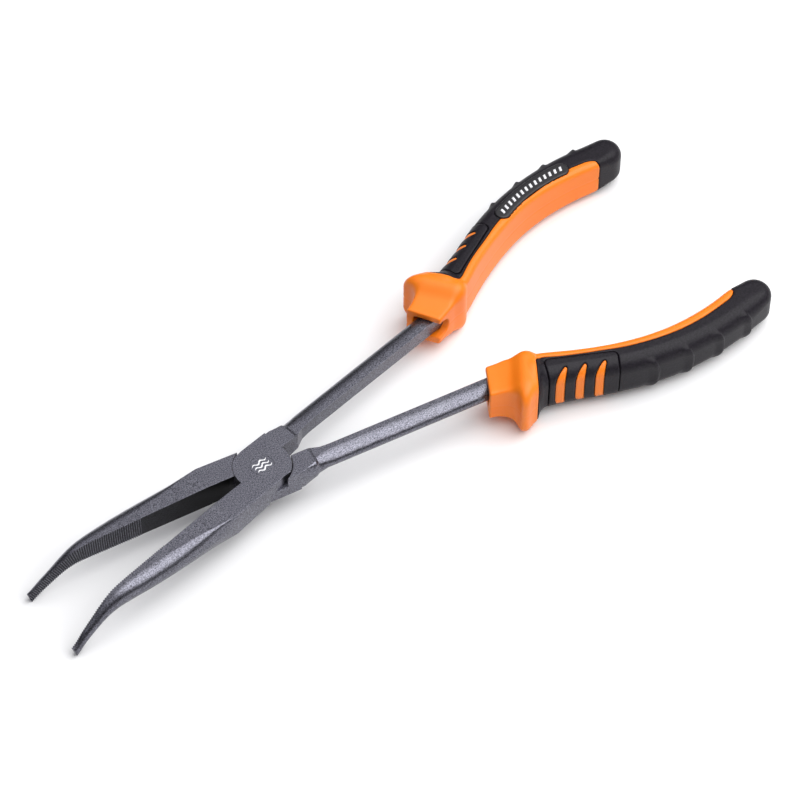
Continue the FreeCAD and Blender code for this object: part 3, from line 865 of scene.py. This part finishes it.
GRIP_PIECES = (
    ("grip_core", grip_core, ORANGE, "orange_plastic"),
    ("soft_grip", soft_grip, RUBBER, "black_rubber"),
    ("claw_pad", claw_pad, RUBBER, "black_rubber"),
    ("badge_plate", badge_plate, BADGE, "black_plastic"),
)


def build_grip(side):
    """The moulded pieces of one grip, each in place of its CAD solid."""
    grip = Grip(side)
    for name, shape, material, slot in GRIP_PIECES:
        points, quads = skin(shape(grip))
        piece = add_mesh(f"{name}_{side}_moulded", points, quads, material, side)
        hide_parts(f"{name}_{side}")


def wave_mark():
    """A plain printed mark on the head: three short wave lines."""
    points = []
    faces = []
    for row in WAVE_ROWS:
        for i in range(WAVE_STEPS + 1):
            t = i / WAVE_STEPS
            x = (t - 0.5) * WAVE_LENGTH
            y = row * WAVE_ROW_GAP + WAVE_SWING * math.sin(t * WAVE_CRESTS * 2 * math.pi)
            taper_at = min(max(t, WAVE_BLUNT), 1 - WAVE_BLUNT)
            half = WAVE_HALF_WIDTH * math.sin(math.pi * taper_at) ** WAVE_TAPER
            base = len(points)
            for dy in (-half, half):
                points.append((x, y + dy, HEAD_TOP + PRINT_LIFT))
            if i:
                faces.append((base - 2, base, base + 1, base - 1))
    piece = add_mesh("head_mark", points, faces, PRINT, "right", smooth=False)
    thicken(piece)


def badge_height(plan):
    """Height of the badge plate's face above the grip's middle."""
    width = half_width(plan.station) + BADGE_PROUD
    height = half_height(plan.station) + BADGE_PROUD
    edge = np.where(plan.across < 0, INNER_EDGE_RADIUS, OUTER_EDGE_RADIUS) + BADGE_PROUD
    reach = np.maximum(np.abs(plan.across) - width + edge, 0)
    return height - edge + np.sqrt(edge**2 - reach**2)


def badge_bars(side):
    """A plain printed row of slanted bars along the badge plate."""
    (ax, ay), (bx, by), (cx, cy) = BADGE_LINE
    line = np.polyfit((ax, bx, cx), (ay, by, cy), 2)
    points = []
    faces = []
    for bar in range(BAR_COUNT):
        x = ax + BAR_MARGIN + (cx - ax - 2 * BAR_MARGIN) * bar / (BAR_COUNT - 1)
        y = np.polyval(line, x)
        slope = math.atan(np.polyval(np.polyder(line), x))
        near = len(points)
        far = near + BAR_STEPS + 1
        for edge in (-BAR_WIDTH / 2, BAR_WIDTH / 2):
            for j in range(BAR_STEPS + 1):
                up = (j / BAR_STEPS - 0.5) * BAR_HEIGHT
                out = edge + up * BAR_SLANT
                bar_x = x + out * math.cos(slope) - up * math.sin(slope)
                bar_y = y + out * math.sin(slope) + up * math.cos(slope)
                points.append((bar_x, bar_y, 0.0))
        for j in range(BAR_STEPS):
            faces.append((near + j, far + j, far + j + 1, near + j + 1))
    points = np.array(points)
    height = badge_height(Plan(points[:, 0], points[:, 1])) + PRINT_LIFT
    points[:, 2] = GRIP_MID_Z + (height if side == "right" else -height)
    if side == "left":
        faces = [face[::-1] for face in faces]  # this row faces down
    piece = add_mesh(f"badge_print_{side}", points, faces, PRINT, side)
    thicken(piece)


def thicken(piece):
    """Gives a printed mark the thickness of its ink."""
    ink = piece.modifiers.new("ink", "SOLIDIFY")
    ink.thickness = INK_THICKNESS * MM
    ink.offset = -1.0


coat_steel()
build_grip("right")
build_grip("left")
badge_bars("right")
badge_bars("left")
wave_mark()


# ------------------------------------------------------------------ stage


def stage_floor():
    """A white sheet that touches the jaw tips and the undersides of the grips."""
    tip_x, tip_z = FLOOR_AT_TIPS
    grip_x, grip_z = FLOOR_AT_GRIPS
    slope = (grip_z - tip_z) / (grip_x - tip_x)
    corners = []
    for x_sign, y_sign in ((-1, -1), (1, -1), (1, 1), (-1, 1)):
        x = x_sign * FLOOR_REACH
        corners.append((x, y_sign * FLOOR_REACH, tip_z + (x - tip_x) * slope))
    mesh = bpy.data.meshes.new("backdrop_paper")
    mesh.from_pydata(corners, [], [(0, 1, 2, 3)])
    mesh.materials.append(studio_floor())
    floor = bpy.data.objects.new("backdrop_paper", mesh)
    bpy.context.scene.collection.objects.link(floor)


def add_light(name, place, target, size, power):
    """A square soft box aimed at a point, in metres and watts."""
    data = bpy.data.lights.new(name, "AREA")
    data.shape = "SQUARE"
    data.size = size
    data.energy = power
    light = bpy.data.objects.new(name, data)
    light.location = place
    light.rotation_mode = "QUATERNION"
    light.rotation_quaternion = (Vector(target) - Vector(place)).to_track_quat("-Z", "Y")
    bpy.context.scene.collection.objects.link(light)


def light_studio():
    """A white studio: a large soft box overhead, and walls that are dark near the floor and pale above."""
    world = bpy.data.worlds.new("studio")
    world.use_nodes = True
    tree = world.node_tree
    where = add_node(tree, "ShaderNodeTexCoord").outputs["Generated"]
    height = add_node(tree, "ShaderNodeSeparateXYZ", inputs={"Vector": where})
    walls = add_node(tree, "ShaderNodeValToRGB", inputs={"Fac": height.outputs["Z"]})
    walls.color_ramp.elements[0].position = 0.46
    walls.color_ramp.elements[0].color = linear("#101012")
    walls.color_ramp.elements[1].position = 0.74
    walls.color_ramp.elements[1].color = linear("#EEEEF2")
    tree.links.new(walls.outputs["Color"], tree.nodes["Background"].inputs["Color"])
    tree.nodes["Background"].inputs["Strength"].default_value = 1.0
    bpy.context.scene.world = world
    middle = (0.05, 0.0, 0.0)
    add_light("overhead_box", place=(0.38, -0.3, 0.85), target=middle, size=1.2, power=13.0)
    add_light("side_box", place=(0.9, 0.2, 0.5), target=middle, size=0.5, power=0.5)
    bpy.context.scene.view_settings.view_transform = "Standard"


def set_camera():
    """A long lens from above and to the side, level with the horizon to a quarter of a degree."""
    azimuth = math.radians(-37.1655)
    elevation = math.radians(51.5587)
    roll = math.radians(0.247)
    distance = 1.18493
    target = Vector((0.05555, -0.00263, 0.0044))
    back = Vector(
        (
            math.sin(azimuth) * math.cos(elevation),
            -math.cos(azimuth) * math.cos(elevation),
            math.sin(elevation),
        )
    )
    data = bpy.data.cameras.new("camera")
    data.sensor_width = 36.0
    data.lens = 156.928
    data.clip_end = 20.0
    camera = bpy.data.objects.new("camera", data)
    camera.location = target + back * distance
    camera.rotation_mode = "QUATERNION"
    camera.rotation_quaternion = (-back).to_track_quat("-Z", "Y") @ Quaternion((0.0, 0.0, 1.0), roll)
    bpy.context.scene.collection.objects.link(camera)
    bpy.context.scene.camera = camera


stage_floor()
light_studio()
set_camera()
